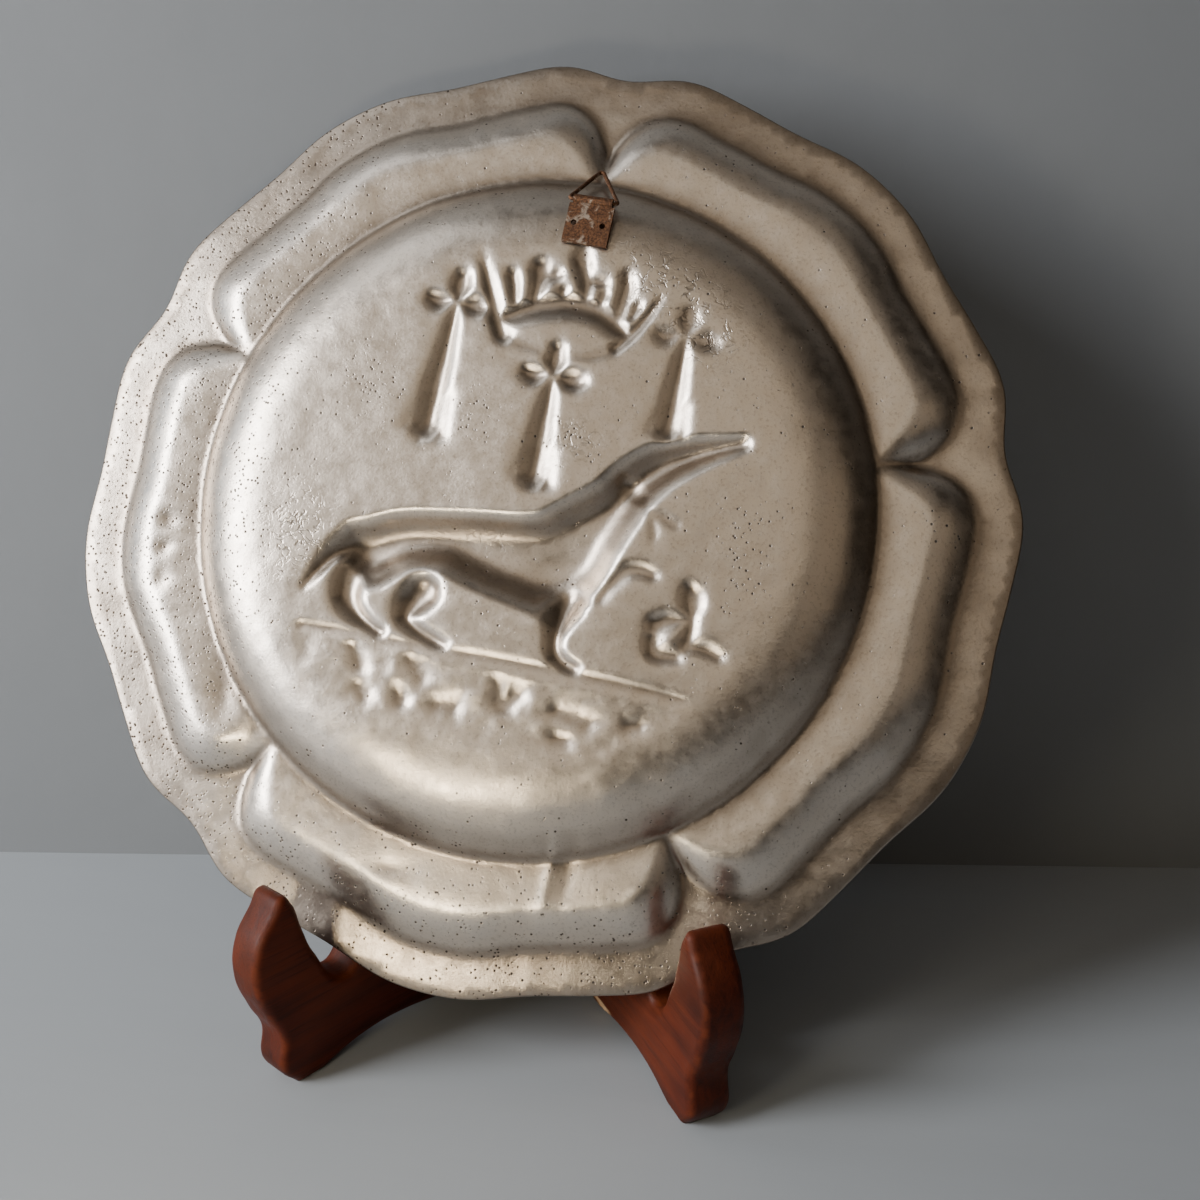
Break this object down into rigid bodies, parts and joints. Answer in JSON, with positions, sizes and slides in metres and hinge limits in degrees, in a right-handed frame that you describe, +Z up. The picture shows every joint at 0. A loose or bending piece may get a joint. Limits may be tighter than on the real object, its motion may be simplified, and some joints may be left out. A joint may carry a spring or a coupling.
{
  "type": "decorative wall plate",
  "caption": "Scalloped pewter relief plate seen from its hollow back, with a hanging ring, standing in a small two-board wooden easel.",
  "frame": {"origin": "on the floor under the middle of the whole object's box", "axes": "+Z up, -Y towards the viewer of the plate's back, +X to that viewer's right; the plate leans back towards +Y"},
  "size_m": [0.238, 0.1128, 0.239],
  "materials": {
    "pewter": "aged pewter, satin, with brown patina in the hollows",
    "rusty_tin": "thin folded tinplate, rusted brown",
    "dark_wire": "dark oxidised steel wire",
    "stained_wood": "reddish-brown stain under satin varnish, worn at the edges"
  },
  "bodies": {
    "plate_on_easel": {"plate": "pewter", "hanger_strap": "rusty_tin", "stand_left_side": "stained_wood", "stand_right_side": "stained_wood"},
    "ring": {"hanger_ring": "dark_wire"}
  },
  "joints": [
    {"name": "ring_swing", "type": "hinge", "parent": "plate_on_easel", "child": "ring", "pos_m": [0.01374, 0.02463, 0.20408], "axis": [0.988, -0.06, -0.1426], "range_deg": [0, 165]}
  ]
}
